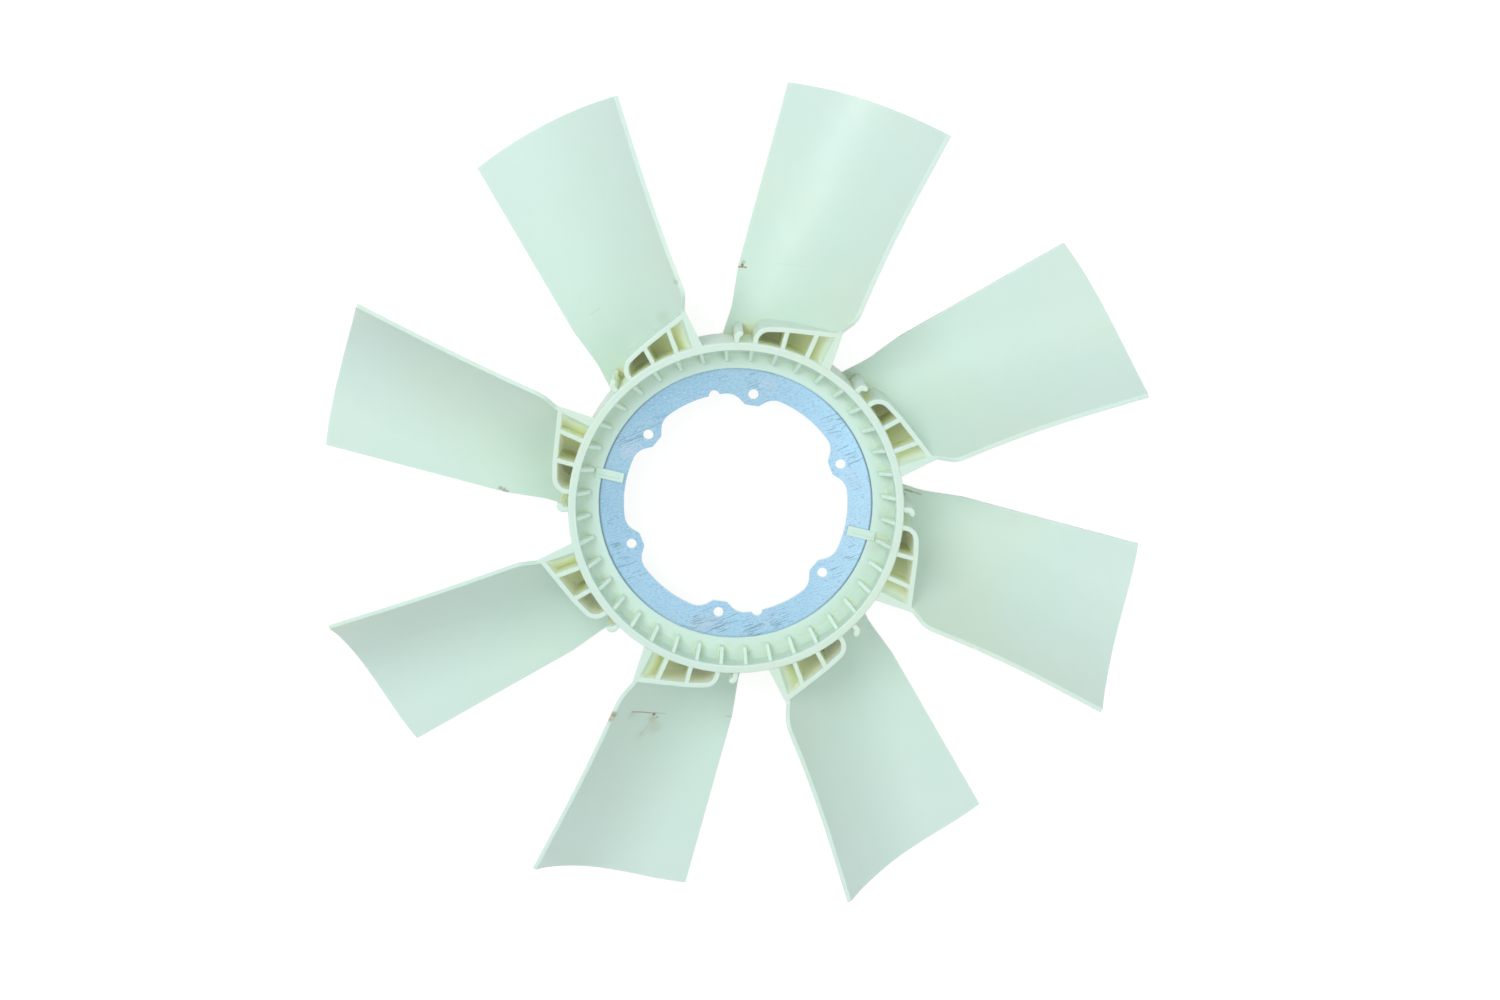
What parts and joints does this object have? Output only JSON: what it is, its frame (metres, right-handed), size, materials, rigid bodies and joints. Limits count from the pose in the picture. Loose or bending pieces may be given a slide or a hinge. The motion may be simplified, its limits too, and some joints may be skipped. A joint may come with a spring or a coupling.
{
  "type": "axial fan impeller",
  "caption": "Moulded axial fan impeller with cambered blades around an open drum and a flat steel mounting ring bolted through lobes.",
  "frame": {"origin": "centre of the bolt circle, on the steel ring's front face", "axes": "+Z along the fan's axis, out of the front; +Y up in the picture"},
  "size_m": [0.745, 0.745, 0.0928],
  "materials": {
    "moulded_plastic": "pale greenish natural plastic, satin, slightly translucent",
    "galvanised_steel": "galvanised steel, pale blue-grey, brushed and scratched"
  },
  "bodies": {
    "root": {"impeller_moulding": "moulded_plastic", "mounting_ring": "galvanised_steel"}
  },
  "joints": []
}
